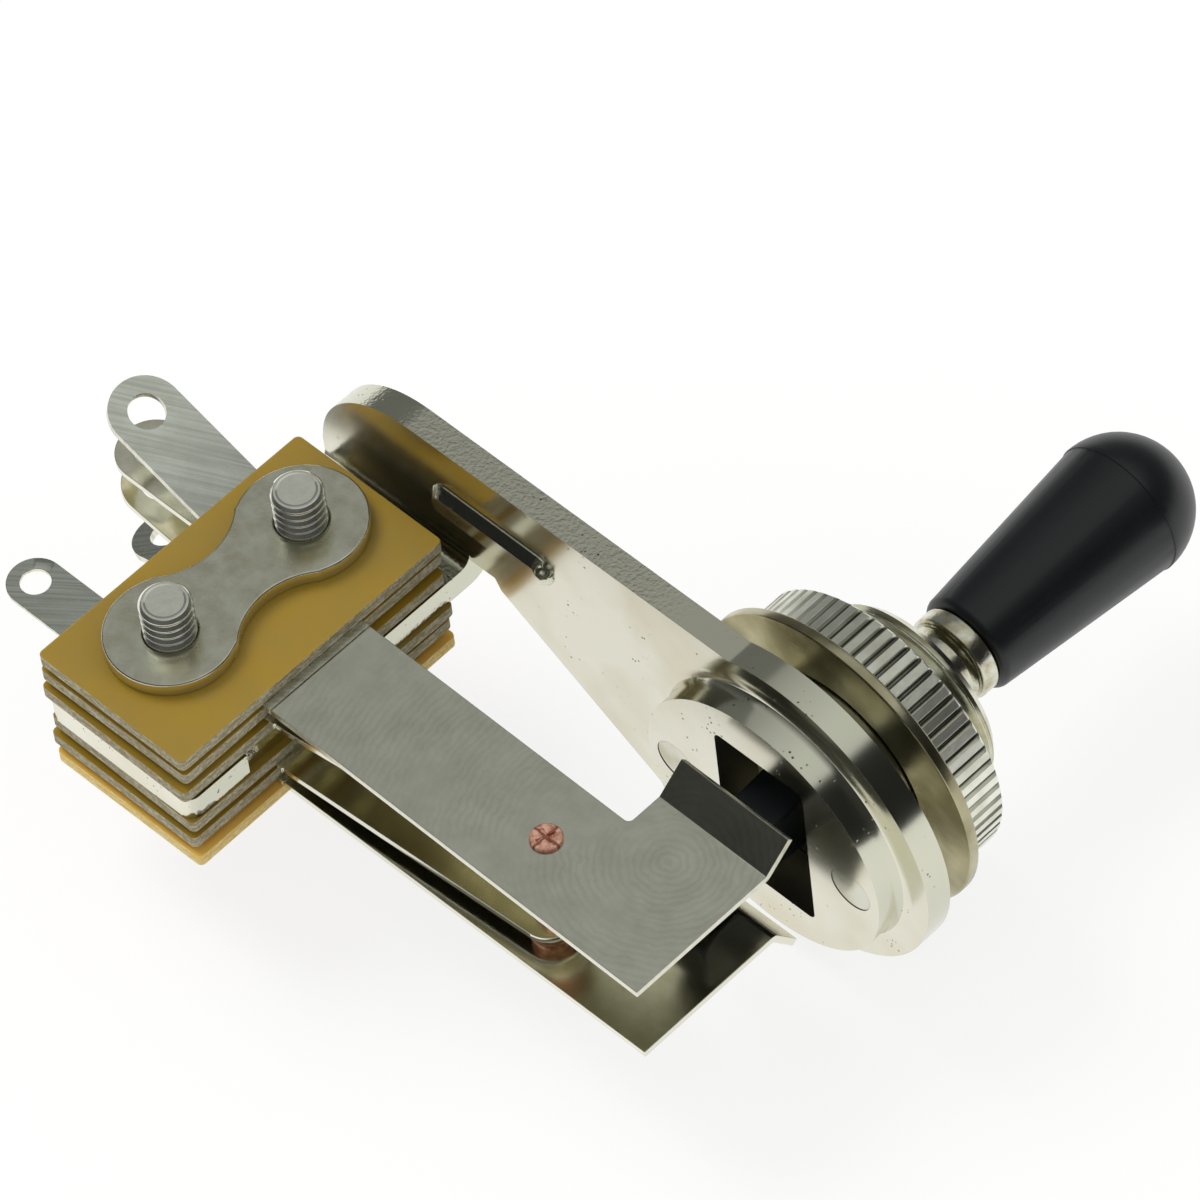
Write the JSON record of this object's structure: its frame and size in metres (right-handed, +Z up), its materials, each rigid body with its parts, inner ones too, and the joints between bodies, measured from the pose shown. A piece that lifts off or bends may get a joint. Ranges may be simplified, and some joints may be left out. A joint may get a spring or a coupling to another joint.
{
  "type": "guitar pickup selector switch",
  "caption": "Open-frame toggle selector switch: bent metal frame, threaded panel bushing with knurled nut, tipped lever and a clamped stack of leaf contacts with solder lugs.",
  "frame": {"origin": "on the bushing axis, in the middle of the free end of its thread, beyond the nut; the face of the frame plate that meets the panel is the plane y = -7.1 mm", "axes": "+Y is the bushing and lever axis, pointing out through the panel; +X runs along the contact blades from the solder lugs to the actuator; +Z runs up through the layers of the stack"},
  "size_m": [0.054, 0.0522, 0.0206],
  "materials": {
    "nickel_plate": "bright nickel plate",
    "turned_plate": "bright nickel plate on turned brass",
    "spring_strip": "rolled nickel silver strip",
    "lug_strip": "brushed nickel silver strip",
    "rivet_copper": "copper-coloured rivet",
    "screw_plate": "nickel-plated screw",
    "insulating_board": "resin-bonded paper board",
    "sleeve_plastic": "plain tube",
    "black_moulding": "black moulding",
    "tip_plastic": "satin black plastic"
  },
  "bodies": {
    "switch_body": {"frame": "nickel_plate", "bushing": "turned_plate", "washer": "turned_plate", "knurled_nut": "turned_plate", "upper_outer_lug": "lug_strip", "lower_outer_lug": "lug_strip", "upper_inner_blade": "spring_strip", "lower_inner_blade": "spring_strip", "upper_inner_contact": "rivet_copper", "lower_inner_contact": "rivet_copper", "clamp_plate": "nickel_plate", "clamp_screws": "screw_plate", "screw_sleeves": "sleeve_plastic", "ground_lug": "lug_strip", "insulator_1": "insulating_board", "insulator_2": "insulating_board", "insulator_3": "insulating_board", "insulator_4": "insulating_board", "insulator_5": "insulating_board", "insulator_6": "insulating_board"},
    "pivot_pin_body": {"pivot_pin": "screw_plate"},
    "lever_body": {"lever": "turned_plate", "actuator": "black_moulding", "lever_tip": "tip_plastic"},
    "upper_leaf_body": {"upper_outer_leaf": "spring_strip", "upper_outer_contact": "rivet_copper"},
    "lower_leaf_body": {"lower_outer_leaf": "spring_strip", "lower_outer_contact": "rivet_copper"}
  },
  "joints": [
    {"name": "lever_up", "type": "hinge", "parent": "switch_body", "child": "pivot_pin_body", "pos_m": [0, -0.00694, 0], "axis": [1, 0, 0], "range_deg": [0, 15]},
    {"name": "lever_down", "type": "hinge", "parent": "pivot_pin_body", "child": "lever_body", "pos_m": [0, -0.00694, 0], "axis": [1, 0, 0], "range_deg": [-15, 0]},
    {"name": "upper_leaf_flex", "type": "hinge", "parent": "switch_body", "child": "upper_leaf_body", "pos_m": [-0.0231, -0.02044, 0.00337], "axis": [0, 1, 0], "range_deg": [-5.9, 0]},
    {"name": "lower_leaf_flex", "type": "hinge", "parent": "switch_body", "child": "lower_leaf_body", "pos_m": [-0.0231, -0.02044, -0.00312], "axis": [0, 1, 0], "range_deg": [0, 5.9]}
  ],
  "couplings": [
    {"joint": "upper_leaf_flex", "follows": "lever_down", "ratio": 0.39},
    {"joint": "lower_leaf_flex", "follows": "lever_up", "ratio": 0.39}
  ]
}
